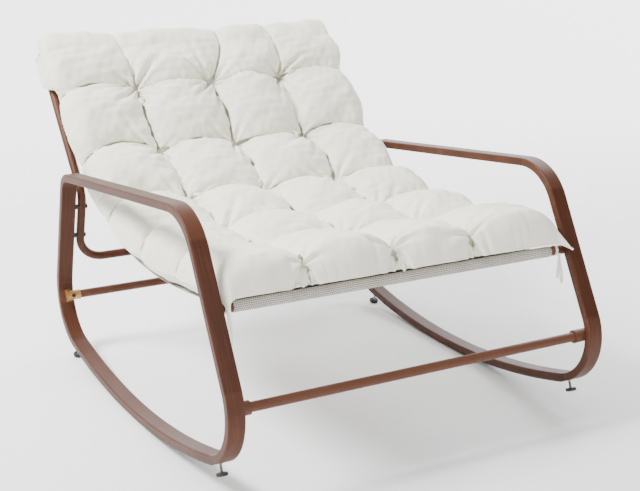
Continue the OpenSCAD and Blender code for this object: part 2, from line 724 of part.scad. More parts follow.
module foot_pad(side, front) {
    head_r = pad_head_r + thread_gap;
    head_from = pad_head_in - thread_gap;
    head_to = pad_head_in + pad_head_t + thread_gap;
    color(black) side_plane(side * loop_x)
        along(foot_point(front, stem_out(front)), foot_dir(front)) rotate_extrude()
            polygon([[foot_hole_r, 0], [pad_face_r, 0], [pad_r, pad_edge], [pad_r, pad_t - pad_edge],
                [pad_face_r, pad_t], [0, pad_t], [0, head_to], [head_r, head_to], [head_r, head_from],
                [foot_hole_r, head_from]]);
}

module sling() {
    half = mesh_t / 2;
    from = lookup(sleeve_in + half, sling_runs);
    to = lookup(sling_len - sleeve_in - half, sling_runs);
    upper = [for (i = [0 : sling_steps]) let (t = from + (to - from) * i / sling_steps)
        sling_at(t) + half * left_of(sling_dir(t))];
    lower = [for (i = [sling_steps : -1 : 0]) let (t = from + (to - from) * i / sling_steps)
        sling_at(t) - half * left_of(sling_dir(t))];
    color(mesh_grey) translate([-sling_w / 2, 0, 0]) rotate([90, 0, 90]) {
        linear_extrude(height = sling_w) polygon(concat(lower, upper));
        for (c = [seat_bar_c, top_bar_c]) translate([c.x, c.y, 0]) difference() {
            cylinder(h = sling_w, r = sleeve_r);
            translate([0, 0, -1]) cylinder(h = sling_w + 2, r = sleeve_in);
        }
    }
}

// A four-sided cell as two triangles, cut along either diagonal
function halves(q, turned) = turned ? [[q[0], q[1], q[2]], [q[0], q[2], q[3]]]
    : [[q[1], q[2], q[3]], [q[1], q[3], q[0]]];

module cushion() {
    count = rows * cols;
    on_rim = [for (i = [0 : count - 1])
        i % cols == 0 || i % cols == cols - 1 || i < cols || i >= count - cols];
    // The underside shares the rim's points with the top
    under = [for (i = [0 : count - 1]) on_rim[i] ? i : count + i];
    faces = [for (j = [rows - 2 : -1 : 0]) for (k = [0 : cols - 2])
        let (a = j * cols + k, d = a + cols, turned = (j < rows / 2) == (k < cols / 2),
            over = [a, d, d + 1, a + 1], below = [for (i = [3 : -1 : 0]) under[over[i]]])
        each concat(halves(over, turned), halves(below, !turned))];
    color(cream) polyhedron(points = concat(cushion_top, cushion_under), faces = faces);
}

// One tape: a ring round the seat bar, a knot and two hanging tails
module tie(side) {
    x = side * (loop_inner_x + sling_w / 2) / 2;
    ring_r = rod_r + seat_gap;
    knot = [5, 8];
    tail_slope = [-100, -84];
    translate([x, seat_bar_c.x, seat_bar_c.y]) rotate([90, 0, 90]) {
        translate([0, 0, -tie_w / 2]) linear_extrude(height = tie_w) difference() {
            circle(r = ring_r + tie_t);
            circle(r = ring_r);
        }
        translate([-ring_r - knot.x, -knot.y, -tie_w / 2]) cube([knot.x, knot.y, tie_w]);
        for (k = [0, 1]) translate([-ring_r - knot.x / 2, -knot.y, (k - 0.5) * tie_w * 0.6])
            rotate([0, 0, tail_slope[k]]) translate([0, -tie_t / 2, -tie_w / 2])
                cube([tie_tail, tie_t, tie_w]);
    }
}

module cushion_ties() {
    color(cream) for (side = [-1, 1]) tie(side);
}

set_down() side_loop(-1);  // side_loop_left
set_down() side_loop(1);  // side_loop_right
set_down() rocker_strip(-1);  // rocker_strip_left
set_down() rocker_strip(1);  // rocker_strip_right
set_down() front_stretcher();
set_down() front_stretcher_collars();
set_down() rear_stretcher();
set_down() rear_stretcher_fittings();
set_down() seat_bar();
set_down() seat_bar_plugs();
set_down() back_frame();
set_down() back_frame_spacers();
set_down() back_frame_bolts();
set_down() top_bar();
set_down() top_bar_plugs();
set_down() top_bar_bolts();
set_down() cross_bolts();
set_down() rivet_nuts();
set_down() leg_rivets();
set_down() foot_inserts();
set_down() foot_stem(-1, true);  // foot_stem_front_left
set_down() foot_stem(1, true);  // foot_stem_front_right
set_down() foot_stem(-1, false);  // foot_stem_rear_left
set_down() foot_stem(1, false);  // foot_stem_rear_right
set_down() foot_pad(-1, true);  // foot_pad_front_left
set_down() foot_pad(1, true);  // foot_pad_front_right
set_down() foot_pad(-1, false);  // foot_pad_rear_left
set_down() foot_pad(1, false);  // foot_pad_rear_right
set_down() sling();
set_down() cushion();
set_down() cushion_ties();
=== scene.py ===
import json
import math

import bpy
import numpy as np
from mathutils import Matrix, Vector


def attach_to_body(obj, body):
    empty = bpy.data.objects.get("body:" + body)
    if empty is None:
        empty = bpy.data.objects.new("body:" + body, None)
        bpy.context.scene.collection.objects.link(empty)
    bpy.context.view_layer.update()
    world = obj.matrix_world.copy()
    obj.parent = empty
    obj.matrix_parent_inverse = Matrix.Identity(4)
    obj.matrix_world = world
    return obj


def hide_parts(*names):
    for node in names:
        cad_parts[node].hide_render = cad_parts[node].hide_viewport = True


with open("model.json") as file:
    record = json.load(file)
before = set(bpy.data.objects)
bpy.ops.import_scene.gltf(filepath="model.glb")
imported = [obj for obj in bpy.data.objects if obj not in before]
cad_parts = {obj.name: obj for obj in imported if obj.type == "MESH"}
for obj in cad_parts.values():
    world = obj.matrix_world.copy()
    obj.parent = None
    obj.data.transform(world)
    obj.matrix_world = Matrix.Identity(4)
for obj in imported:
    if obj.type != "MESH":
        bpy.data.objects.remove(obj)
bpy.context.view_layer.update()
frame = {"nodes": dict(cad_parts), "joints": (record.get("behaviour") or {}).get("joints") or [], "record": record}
nodes = frame["nodes"]
MM = 0.001
TWO_PI = 2 * math.pi
ACROSS, UP = Vector((1, 0, 0)), Vector((0, 0, 1))

# The chair's own frame
# It is the part's source before the chair leans back: y and z in millimetres.
LEAN = math.radians(1.18664)
SHIFT_Y, LIFT_Z = -130.187, 4.157


def lean(y, z, move=1.0):
    """Chair frame to row frame, in millimetres, for numbers or arrays. With move 0 they only turn."""
    return (y * math.cos(LEAN) + z * math.sin(LEAN) + move * SHIFT_Y,
            z * math.cos(LEAN) - y * math.sin(LEAN) + move * LIFT_Z)


def place(x, y, z):
    """A point of the chair frame, in millimetres, as row-frame metres."""
    y, z = lean(y, z)
    return Vector((x, y, z)) * MM


def polar(degrees):
    return np.array([math.cos(math.radians(degrees)), math.sin(math.radians(degrees))])


# The curve of the sling
# It runs from the seat bar to the top bar, and the cushion rolls on over the top bar.
BAR_R = 11.0
SEAT_BAR = np.array([-415.082, 390.019])
TOP_BAR = np.array([728.534, 774.999])
FRONT_SLOPE, TOP_SLOPE = -10.0, 50.4
FRONT_PULL, TOP_PULL = 655.0, 510.0
BEZIER = [SEAT_BAR, SEAT_BAR + FRONT_PULL * polar(FRONT_SLOPE),
          TOP_BAR - TOP_PULL * polar(TOP_SLOPE), TOP_BAR]
CURVE_STEPS = 1200
ROLL_R, ROLL_TURN = 16.0, 140.0


def bezier_table():
    """Runs along the curve, with the point and the heading at each."""
    t = np.linspace(0, 1, CURVE_STEPS + 1)[:, None]
    p = ((1 - t) ** 3 * BEZIER[0] + 3 * (1 - t) ** 2 * t * BEZIER[1]
         + 3 * (1 - t) * t * t * BEZIER[2] + t ** 3 * BEZIER[3])
    d = np.gradient(p, axis=0)
    return lengths(p), p, np.unwrap(np.arctan2(d[:, 1], d[:, 0]))


def lengths(points):
    """The distance from a line's start to each of its points."""
    return np.concatenate([[0], np.cumsum(np.hypot(*np.diff(points, axis=0).T))])


RUN, CURVE, HEADING = bezier_table()
SLING_LEN = RUN[-1]
CUSHION_END = SLING_LEN + ROLL_R * math.radians(ROLL_TURN)


def sling_frame(v):
    """Point and heading of the sling's curve at run v, carried on past both bars."""
    v = np.asarray(v, float)
    inside = np.clip(v, 0, SLING_LEN)
    y = np.interp(inside, RUN, CURVE[:, 0]) + np.minimum(v, 0) * math.cos(HEADING[0])
    z = np.interp(inside, RUN, CURVE[:, 1]) + np.minimum(v, 0) * math.sin(HEADING[0])
    heading = np.interp(inside, RUN, HEADING) - np.maximum(v - SLING_LEN, 0) / ROLL_R
    return y, z, heading


def on_sling(x, v, h):
    """Row-frame metres of a point h above the sling's curve at run v."""
    y, z, heading = sling_frame(v)
    y, z = lean(y - h * np.sin(heading), z + h * np.cos(heading))
    return np.stack([np.broadcast_to(x, y.shape), y, z], -1) * MM


# Camera, light and floor
# The camera is the photo's own, in the chair's frame, with its focal length in pixels.
CAM_POS = (-1468.75, -2637.38, 1213.96)
CAM_RIGHT = (0.869841, -0.493333, 0.0)
CAM_DOWN = (-0.134122, -0.236483, -0.962334)
CAM_FORWARD = (0.474751, 0.837077, -0.271869)
FOCAL_PX, PICTURE_W_PX = 1251.097, 640
SENSOR_MM = 36
CHAIR_MIDDLE = (0.0, 0.0, 0.45)
SKY_STRENGTH = 0.60
FLOOR_PALE = (0.95, 0.95, 0.95)


def make_camera():
    cam = bpy.data.objects.new("camera", bpy.data.cameras.new("camera"))
    bpy.context.scene.collection.objects.link(cam)
    cam.data.sensor_width = SENSOR_MM
    cam.data.lens = FOCAL_PX / PICTURE_W_PX * SENSOR_MM
    cam.data.clip_start, cam.data.clip_end = 0.05, 60
    axes = [CAM_RIGHT, tuple(-c for c in CAM_DOWN), tuple(-c for c in CAM_FORWARD)]
    m = Matrix.Identity(4)
    for k, (x, y, z) in enumerate(axes):
        m.col[k][:3] = (x, *lean(y, z, 0))
    m.translation = place(*CAM_POS)
    cam.matrix_world = m
    bpy.context.scene.camera = cam


def area_light(name, at, target, size, power):
    """A round soft light, in metres and watts."""
    light = bpy.data.lights.new(name, "AREA")
    light.shape, light.size, light.energy = "DISK", size, power
    o = bpy.data.objects.new(name, light)
    bpy.context.scene.collection.objects.link(o)
    o.location = at
    o.rotation_euler = (Vector(target) - Vector(at)).to_track_quat("-Z", "Y").to_euler()


def make_set():
    """A low even light, a key that gives the folds their shade, a fill and a lit backdrop."""
    world = bpy.data.worlds.new("studio")
    bpy.context.scene.world = world
    world.use_nodes = True
    sky = world.node_tree.nodes["Background"]
    sky.inputs["Color"].default_value = (1, 1, 1, 1)
    sky.inputs["Strength"].default_value = SKY_STRENGTH
    area_light("key", at=(-2.5, 0.5, 3.1), target=CHAIR_MIDDLE, size=1.3, power=300)
    area_light("fill", at=(-0.5, -4.2, 2.6), target=CHAIR_MIDDLE, size=3.0, power=110)
    area_light("backdrop_left", at=(-0.6, 4.0, 4.6), target=(1.6, 5.6, 1.2), size=3.0, power=420)
    area_light("backdrop_right", at=(4.6, 2.0, 4.2), target=(4.4, 4.6, 0.6), size=3.0, power=420)
    make_floor(Shade("floor_pale").finish(FLOOR_PALE, rough=0.9))


def make_floor(mat):
    """A level floor that curves up into a backdrop behind the chair, square to the camera."""
    near, flat, bend, wall, half = -7.0, 3.6, 2.2, 7.0, 9.0
    arc_points = 17
    arc = [(flat + bend * math.sin(t), bend * (1 - math.cos(t)))
           for t in np.linspace(0, math.pi / 2, arc_points)]
    line = [(near, 0.0)] + arc + [(flat + bend, wall)]
    ahead = Vector(CAM_FORWARD[:2]).normalized()
    verts = [(ahead.x * d + ahead.y * w, ahead.y * d - ahead.x * w, z)
             for d, z in line for w in (-half, half)]
    faces = [(2 * k, 2 * k + 1, 2 * k + 3, 2 * k + 2) for k in range(len(line) - 1)]
    return new_object("floor", verts, faces, mat)


# Materials


class Shade:
    """A material under construction: a Principled shader and short calls that add nodes to it."""

    def __init__(self, name):
        self.mat = bpy.data.materials.new(name)
        self.mat.use_nodes = True
        self.tree = self.mat.node_tree
        self.shader = self.tree.nodes["Principled BSDF"]

    def node(self, kind, **settings):
        n = self.tree.nodes.new(kind)
        for key, value in settings.items():
            setattr(n, key, value)
        return n

    def put(self, socket, value):
        """A socket takes another node's output or a constant."""
        if isinstance(value, bpy.types.NodeSocket):
            self.tree.links.new(value, socket)
        elif isinstance(value, (tuple, list)) and len(value) == 3 and socket.type == "RGBA":
            socket.default_value = (*value, 1)
        else:
            socket.default_value = value

    def position(self, scale=(1, 1, 1)):
        """The point on the piece, in metres, drawn out where the scale is under 1."""
        coord = self.node("ShaderNodeTexCoord")
        m = self.node("ShaderNodeMapping")
        self.put(m.inputs["Vector"], coord.outputs["Object"])
        m.inputs["Scale"].default_value = scale
        return m.outputs["Vector"]

    def attribute(self, name):
        """The three numbers of a mesh attribute."""
        at = self.node("ShaderNodeAttribute", attribute_name=name, attribute_type="GEOMETRY")
        sep = self.node("ShaderNodeSeparateXYZ")
        self.put(sep.inputs[0], at.outputs["Vector"])
        return sep.outputs

    def along(self, vector, axis):
        """How far a vector reaches along an axis."""
        dot = self.node("ShaderNodeVectorMath", operation="DOT_PRODUCT")
        self.put(dot.inputs[0], vector)
        dot.inputs[1].default_value = axis
        return dot.outputs["Value"]

    def noise(self, vector, scale, detail, rough=0.55):
        n = self.node("ShaderNodeTexNoise")
        self.put(n.inputs["Vector"], vector)
        n.inputs["Scale"].default_value = scale
        n.inputs["Detail"].default_value = detail
        n.inputs["Roughness"].default_value = rough
        return n.outputs["Fac"]

    def ramp(self, fac, *stops):
        """A colour between stops, each a place from 0 to 1 and its colour."""
        n = self.node("ShaderNodeValToRGB")
        self.put(n.inputs["Fac"], fac)
        e = n.color_ramp.elements
        while len(e) < len(stops):
            e.new(0.5)
        for k, (at, colour) in enumerate(stops):
            e[k].position = at
            e[k].color = (*colour, 1)
        return n.outputs["Color"]

    def mix(self, share, a, b):
        """A share of colour b in colour a. The node's colours are its sockets 6 and 7, and 2 out."""
        n = self.node("ShaderNodeMix", data_type="RGBA")
        self.put(n.inputs[0], share)
        self.put(n.inputs[6], a)
        self.put(n.inputs[7], b)
        return n.outputs[2]

    def math(self, op, a, b=0.0, c=0.0):
        n = self.node("ShaderNodeMath", operation=op)
        for k, value in enumerate((a, b, c)):
            self.put(n.inputs[k], value)
        return n.outputs[0]

    def scaled(self, value, share, start):
        """A value times a share, from a start."""
        return self.math("MULTIPLY_ADD", value, share, start)

    def bump(self, height, strength, depth, normal=None):
        """Fine relief, up to a depth in metres, on top of another normal if there is one."""
        n = self.node("ShaderNodeBump")
        n.inputs["Strength"].default_value = strength
        n.inputs["Distance"].default_value = depth
        self.put(n.inputs["Height"], height)
        if normal is not None:
            self.put(n.inputs["Normal"], normal)
        return n.outputs["Normal"]

    def finish(self, colour, rough, normal=None, metallic=0.0, **constants):
        """The shader's inputs, then the material. A constant is named as its socket is."""
        s = self.shader.inputs
        self.put(s["Base Color"], colour)
        self.put(s["Roughness"], rough)
        if normal is not None:
            self.put(s["Normal"], normal)
        s["Metallic"].default_value = metallic
        for key, value in constants.items():
            self.put(s[key.replace("_", " ")], value)
        return self.mat


def grey(v):
    return (v, v, v)


def frame_brown():
    """Baked brown paint with a faint wood streak that runs along the tubes, and a painted highlight that makes its
    edges paler.
    """
    dark, brown, pale = (0.034, 0.0085, 0.0025), (0.055, 0.0145, 0.005), (0.088, 0.026, 0.010)
    cloud_dark, cloud_pale = (0.042, 0.011, 0.0035), (0.074, 0.021, 0.008)
    edge_highlight_brown = (0.22, 0.10, 0.06)
    m = Shade("frame_brown")
    streak = m.noise(m.position((1.0, 0.03, 0.03)), scale=420, detail=3, rough=0.6)
    cloud = m.noise(m.position(), scale=9, detail=3, rough=0.5)
    fine = m.noise(m.position(), scale=900, detail=2, rough=0.6)
    streaky = m.ramp(streak, (0.30, dark), (0.52, brown), (0.75, pale))
    cloudy = m.ramp(cloud, (0.3, cloud_dark), (0.7, cloud_pale))
    colour = m.mix(0.35, streaky, cloudy)
    # Painted highlight: the tubes' sharp outer edges, found by their pointiness, are painted paler.
    geometry = m.node("ShaderNodeNewGeometry")
    edge = m.ramp(geometry.outputs["Pointiness"], (0.50, grey(0)), (0.56, grey(1)))
    colour = m.mix(m.math("MULTIPLY", edge, 0.3), colour, edge_highlight_brown)
    normal = m.bump(fine, strength=0.10, depth=0.0004)
    normal = m.bump(streak, strength=0.08, depth=0.0006, normal=normal)
    rough = m.scaled(cloud, share=0.14, start=0.38)
    return m.finish(colour, rough, normal, Specular_IOR_Level=0.22)


def black_plain(name, rough, grain, metallic=0.0, base=0.016):
    """Plain black with a fine grain, for rubber, plastic and painted bolts."""
    m = Shade(name)
    n = m.noise(m.position(), scale=grain, detail=3)
    colour = m.ramp(n, (0.3, grey(base * 0.7)), (0.7, grey(base * 1.5)))
    normal = m.bump(n, strength=0.15, depth=0.0003)
    return m.finish(colour, m.scaled(n, share=0.2, start=rough), normal, metallic)


def brass_metal():
    dull, bright = (0.33, 0.17, 0.06), (0.52, 0.30, 0.11)
    m = Shade("brass_fittings")
    n = m.noise(m.position(), scale=120, detail=4)
    colour = m.ramp(n, (0.3, dull), (0.7, bright))
    normal = m.bump(n, strength=0.1, depth=0.0003)
    return m.finish(colour, m.scaled(n, share=0.25, start=0.28), normal, metallic=0.9)


def bright_steel():
    m = Shade("bright_steel")
    n = m.noise(m.position((1, 1, 8)), scale=260, detail=3)
    colour = m.ramp(n, (0.3, grey(0.42)), (0.7, grey(0.62)))
    normal = m.bump(n, strength=0.12, depth=0.0002)
    return m.finish(colour, m.scaled(n, share=0.2, start=0.25), normal, metallic=1.0)


def threaded_steel(name, axis, pitch=1.0):
    """Steel with the ridges of a screw thread across an axis, at a pitch in millimetres, with painted shade in its
    grooves and a painted highlight on its crests.
    """
    m = Shade(name)
    ridge = m.math("SINE", m.math("MULTIPLY", m.along(m.position(), axis), TWO_PI / (pitch * MM)))
    n = m.noise(m.position(), scale=200, detail=3)
    # The colour follows the ridges too: painted shade in the thread's grooves, a painted highlight on its crests.
    colour = m.ramp(m.scaled(ridge, share=0.3, start=n), (0.1, grey(0.16)), (0.8, grey(0.55)))
    normal = m.bump(ridge, strength=0.8, depth=0.0004)
    return m.finish(colour, m.scaled(n, share=0.2, start=0.28), normal, metallic=1.0)


def cushion_cloth():
    """Off-white canvas: a fine plain weave, soft creases and a little unevenness in its colour."""
    warm, white = (0.84, 0.825, 0.69), (0.90, 0.885, 0.765)
    m = Shade("cushion_canvas")
    pos = m.position()
    cloud = m.noise(pos, scale=7, detail=3, rough=0.5)
    soft_crease = m.noise(pos, scale=34, detail=5, rough=0.62)
    thread = m.noise(pos, scale=950, detail=2, rough=0.6)
    colour = m.ramp(cloud, (0.3, warm), (0.7, white))
    normal = m.bump(thread, strength=0.12, depth=0.0005)
    normal = m.bump(soft_crease, strength=0.30, depth=0.003, normal=normal)
    return m.finish(colour, 0.88, normal, Sheen_Weight=0.12, Sheen_Roughness=0.5,
                    Specular_IOR_Level=0.25)


def sling_mesh():
    """Coated mesh: pale threads with rows of small holes painted dark, as painted shade seen through them, from
    the cloth's own coordinates.
    """
    pitch = 4.2 * MM
    hole_shade, thread_dark, thread_pale = (0.035, 0.028, 0.022), (0.52, 0.49, 0.44), (0.62, 0.59, 0.53)
    m = Shade("sling_mesh")
    across, along, _ = m.attribute("weave")
    u = m.math("MULTIPLY", across, 1 / pitch)
    v = m.math("MULTIPLY", along, 1 / pitch)
    shifted = m.math("ADD", u, m.math("MULTIPLY", m.math("FLOOR", v), 0.5))
    fu = m.math("SUBTRACT", m.math("FRACT", shifted), 0.5)
    fv = m.math("SUBTRACT", m.math("FRACT", v), 0.5)
    off = m.math("SQRT", m.math("ADD", m.math("MULTIPLY", fu, fu), m.math("MULTIPLY", fv, fv)))
    # The holes are painted dark: painted shade seen through the mesh.
    dot = m.ramp(off, (0.26, grey(1)), (0.40, grey(0)))
    cloud = m.noise(m.position(), scale=30, detail=3)
    threads = m.ramp(cloud, (0.3, thread_dark), (0.7, thread_pale))
    normal = m.bump(off, strength=0.35, depth=0.0008)
    return m.finish(m.mix(dot, threads, hole_shade), 0.6, normal, Specular_IOR_Level=0.3)


# Meshes


def shade_smooth(mesh):
    mesh.polygons.foreach_set("use_smooth", [True] * len(mesh.polygons))


def new_object(name, verts, faces, mat):
    mesh = bpy.data.meshes.new(name)
    mesh.from_pydata([tuple(v) for v in verts], [], [tuple(f) for f in faces])
    mesh.update()
    shade_smooth(mesh)
    mesh.materials.append(mat)
    o = bpy.data.objects.new(name, mesh)
    bpy.context.scene.collection.objects.link(o)
    return o


def apply_modifiers(o):
    dg = bpy.context.evaluated_depsgraph_get()
    mesh = bpy.data.meshes.new_from_object(o.evaluated_get(dg))
    o.modifiers.clear()
    o.data = mesh
    shade_smooth(mesh)


def attach(name, o, values):
    """Gives every point of a mesh three numbers, kept under a name."""
    at = o.data.attributes.new(name, "FLOAT_VECTOR", "POINT")
    at.data.foreach_set("vector", np.asarray(values, np.float32).ravel())


def read(data, key):
    """One row of three numbers for each of a mesh's points."""
    out = np.empty(len(data) * 3, np.float32)
    data.foreach_get(key, out)
    return out.reshape(-1, 3).astype(float)


def sweep(points, width, thick, side, turn=0.0, closed=False):
    """Verts and faces of a tape along points, its width to the given side, twisted by a turn."""
    points = [Vector(p) for p in points]
    n, ring = len(points), 8
    verts, across = [], side
    for i, p in enumerate(points):
        before = points[(i - 1) % n] if closed or i else p
        after = points[(i + 1) % n] if closed or i < n - 1 else p
        along = (after - before).normalized()
        across = (across - along * across.dot(along)).normalized()
        up = along.cross(across)
        twist = turn * i / max(1, n - 1)
        for k in range(ring):
            t = TWO_PI * k / ring + math.pi / ring
            u, w = width / 2 * math.cos(t), thick / 2 * math.sin(t)
            u, w = (u * math.cos(twist) - w * math.sin(twist),
                    u * math.sin(twist) + w * math.cos(twist))
            verts.append(p + across * u + up * w)
    last = n if closed else n - 1
    faces = [(i * ring + k, i * ring + (k + 1) % ring,
              (i + 1) % n * ring + (k + 1) % ring, (i + 1) % n * ring + k)
             for i in range(last) for k in range(ring)]
    if not closed:
        faces += [tuple(range(ring - 1, -1, -1)), tuple((n - 1) * ring + k for k in range(ring))]
    return verts, faces


# Sling
# A sleeve goes round each bar and laps onto the sheet, which is drawn thinner than its solid.
SLING_W = 836.0
MESH_T, MESH_T_SHOWN = 1.5, 0.9
SLEEVE_GAP = 0.3
SLEEVE_R = BAR_R + SLEEVE_GAP + MESH_T / 2
SLEEVE_LAP = 8
SLEEVE_POINTS, SHEET_POINTS, WIDTH_POINTS = 34, 150, 85


def sleeve(centre, start):
    """Points round a bar, clockwise from one angle, in degrees, nearly all the way."""
    turn = 360 - 2 * SLEEVE_LAP
    return [centre + SLEEVE_R * polar(start - turn * k / (SLEEVE_POINTS - 1))
            for k in range(SLEEVE_POINTS)]


def make_sling(mat):
    y, z, _ = sling_frame(np.linspace(SLEEVE_R, SLING_LEN - SLEEVE_R, SHEET_POINTS))
    front = sleeve(SEAT_BAR, FRONT_SLOPE + (360 - SLEEVE_LAP))
    top = sleeve(TOP_BAR, TOP_SLOPE + (180 - SLEEVE_LAP))
    line = np.array(front + list(np.stack([y, z], 1)) + top)
    run = lengths(line)
    xs = np.linspace(-SLING_W / 2, SLING_W / 2, WIDTH_POINTS)
    ys, zs = lean(line[:, 0], line[:, 1])
    n = len(xs)
    verts = [(x * MM, ys[i] * MM, zs[i] * MM) for i in range(len(line)) for x in xs]
    faces = [(i * n + k, i * n + k + 1, (i + 1) * n + k + 1, (i + 1) * n + k)
             for i in range(len(line) - 1) for k in range(n - 1)]
    o = new_object("sling", verts, faces, mat)
    attach("weave", o, [(x * MM, run[i] * MM, 0.0) for i in range(len(line)) for x in xs])
    solid = o.modifiers.new("thick", "SOLIDIFY")
    solid.thickness, solid.offset = MESH_T_SHOWN * MM, 0.0
    apply_modifiers(o)
    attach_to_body(o, "chair")
    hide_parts("sling")


# Cushion plan
# a counts tuft columns from -2 at the left edge to 2 at the right one, b counts tuft rows.
# x is the width and v the run along the sling, from FRONT before the seat bar to CUSHION_END.
ROWS, COLUMNS = 5, 4
EDGE_A = COLUMNS // 2
KNOTS = list(range(-EDGE_A, EDGE_A + 1))
TUFT_COLUMNS = KNOTS[1:-1]
HALF_W, FRONT = 446.0, 28.0
FIRST, LAST = 262.0, 157.0
PITCH_V = (SLING_LEN - FIRST - LAST) / (ROWS - 1)
PITCH_X = HALF_W / EDGE_A
LAST_ROW = FIRST + (ROWS - 1) * PITCH_V

# Where the three long creases end at the front and at the back edge
FRONT_PLEATS = (-238.0, -14.0, 196.0)
BACK_PLEATS = (-236.0, 72.0, 234.0)

# Ranges of the creases' bends: across on all rows, on the first one, and along
ARCHES, EDGE_ARCHES = (6, 26), (12, 0, 0, 8)
FIRST_ARCHES = (-8, 8)
SWAYS = (-2, 22)

# How much of the last row and of the creases behind it is filled up, from the left
TOP_ROW_EASE = (0.0, 0.6, 1.0, 0.4)
TOP_CREASE_EASE = (0.65, 0.1, 0.7)
EASE_B = 0.22
END_EASE, MIDDLE_END_EASE, END_EASE_V = 0.95, 0.5, (130, 70)

# Grid cells of a pillow, of its rounded edge and of the wider pillows along the edges
CELLS, ROUND_CELLS = 20, 8
SIDE_CELLS, FRONT_CELLS, BACK_CELLS = CELLS + 5, CELLS + 12, CELLS + 4

# Cushion section
# Heights stand over the sling's curve, and each pair of places is a start and a length of run.
PLUMP_POWER, EDGE_POWER = 0.55, 2.3
CROWN, CROWN_RISE = 94, 12
RISE_V, FALL_V = (150, 220), (560, 540)
TOP_CROWN, TOP_CROWN_RISE, TOP_CROWN_V = 64, 30, 110
PLUMPNESS = (-5, 5)
SWELL = 10.0
TUFT_H, TUFT_DROP = 58, 14
LINE_SHARE = 0.10
SEAM_H, FRONT_SEAM_H, SEAM_V = 30.0, 2.0, (6, 90)
SIDE_DRAW, FRONT_DRAW, FRONT_DRAW_V = 16.0, 20.0, 70
SIDE_ROUND, CORNER_ROUND, CORNER_V = 54.0, 56, 170
END_ROUND, BACK_END_SHARE = 58.0, 2.2
BULGE = 6.0
LEAST_T = 4

# The underside over the bars, and over the back frame's tubes beside the sling
REST_GAP, SHEET_GAP = 0.7, 0.5
BAR_V, BAR_LENGTH = 10, 70
TOP_BAR_BEFORE, TUBE_BEFORE, TUBE_LENGTH = 75, 240, 170
TUBE_GAP, TUBE_STRIP = 5, 8

# Over the back frame's top the cushion is wider and its sides hang down
WIDER, WIDER_V = 8, (10, 60)
DRAPE_DOWN, DRAPE_X, DRAPE_V = 6, (434, 18), (24, 50)

# The front corners' ears, left and right: pulled along x, forwards and down
EARS_X, EARS_FORWARD, EARS_DOWN = (6, 10), (6, 18), (27, 15)
EAR_REACH_X, EAR_REACH_V = 12, 15


def smooth(t):
    """Eases from 0 to 1 while t does."""
    c = np.clip(t, 0, 1)
    return c * c * (3 - 2 * c)


def rounding(d, r):
    """The share of its full height that a rounded edge has at a distance d from it."""
    inside = 1 - np.clip(1 - np.maximum(d, 0) / r, 0, 1) ** EDGE_POWER
    return np.where(d >= r, 1.0, inside ** (1 / EDGE_POWER))


def pillow(s):
    """A pillow's fullness from one crease, at a whole number, to the next."""
    return np.abs(np.sin(np.pi * s)) ** PLUMP_POWER


def row_fill(b):
    return np.where((b < 0.5) | (b > ROWS + 0.5), 1.0, pillow(b))


def col_fill(a):
    return np.where(np.abs(a) > EDGE_A - 0.5, 1.0, pillow(a))


def crown(v):
    """The pillows' height: most on the seat's back half, least over the top bar."""
    near_top = TOP_CROWN + TOP_CROWN_RISE * smooth((SLING_LEN - v) / TOP_CROWN_V)
    rise = CROWN_RISE * smooth((v - RISE_V[0]) / RISE_V[1])
    fall = CROWN_RISE * smooth((v - FALL_V[0]) / FALL_V[1])
    return np.where(v > SLING_LEN - TOP_CROWN_V, near_top, CROWN + rise - fall)


def tuft_h(v):
    return TUFT_H - TUFT_DROP * smooth((v - FIRST) / (2 * PITCH_V))


def seam_h(v):
    """The sewn edge lies low along the front, where the cushion comes down to the seat bar."""
    rise = smooth((v + FRONT - SEAM_V[0]) / SEAM_V[1])
    return FRONT_SEAM_H + (SEAM_H - FRONT_SEAM_H) * rise


def under_h(x, v):
    """The underside's height: on the sling, lifted over both bars and the back frame's tubes."""
    lift = BAR_R + SLEEVE_GAP + MESH_T + REST_GAP
    over_seat_bar = lift * (1 - smooth((v - BAR_V) / BAR_LENGTH))
    over_top_bar = lift * smooth((v - SLING_LEN + TOP_BAR_BEFORE) / BAR_LENGTH)
    under = np.maximum(np.maximum(MESH_T / 2 + SHEET_GAP, over_seat_bar), over_top_bar)
    beside = (BAR_R + TUBE_GAP) * smooth((v - SLING_LEN + TUBE_BEFORE) / TUBE_LENGTH)
    return np.where(np.abs(x) > SLING_W / 2 - TUBE_STRIP, np.maximum(under, beside), under)


def crowded(squeeze=0.45):
    """Even steps from 0 to 1 over a pillow, drawn together towards both ends."""
    u = np.linspace(0, 1, CELLS + 1)
    return u - squeeze * np.sin(TWO_PI * u) / TWO_PI


def edge_steps(width, radius, count, power=1.35):
    """Steps from 0 at a rounded edge to 1 at the next crease, closest on the rounding."""
    r = radius / width
    bend = r * (1 - np.cos(np.linspace(0, math.pi / 2, ROUND_CELLS + 1)))
    u = np.linspace(0, 1, count - ROUND_CELLS + 1)[1:]
    return np.concatenate([bend, r + (1 - r) * (1 - (1 - u) ** power)])


def waves(x, y, length, seed, count=9):
    """Smooth unevenness between about -1 and 1: plane waves of about one length, every way."""
    r = np.random.RandomState(seed)
    total = 0.0
    for _ in range(count):
        turn, phase = r.uniform(0, TWO_PI, 2)
        k = TWO_PI / (length * r.uniform(0.7, 1.4))
        total = total + np.sin(k * (x * np.cos(turn) + y * np.sin(turn)) + phase)
    return total / (1.1 * math.sqrt(count))


def cushion_grid():
    """a and b of each point of the cushion's grid."""
    side = edge_steps(PITCH_X, SIDE_ROUND, SIDE_CELLS)
    inner = crowded()[1:]
    a = np.concatenate([side - EDGE_A, inner - 1, inner, EDGE_A - side[-2::-1]])
    front_run, back_run = FIRST + FRONT, CUSHION_END - LAST_ROW
    front = edge_steps(front_run, END_ROUND, FRONT_CELLS)
    back = edge_steps(back_run, END_ROUND / 2, BACK_CELLS)[::-1]
    b = np.concatenate([1 - front_run / PITCH_V * (1 - front)] + [row + inner for row in range(1, ROWS)]
                       + [(ROWS + back_run / PITCH_V * (1 - back))[1:]])
    return np.meshgrid(a, b)


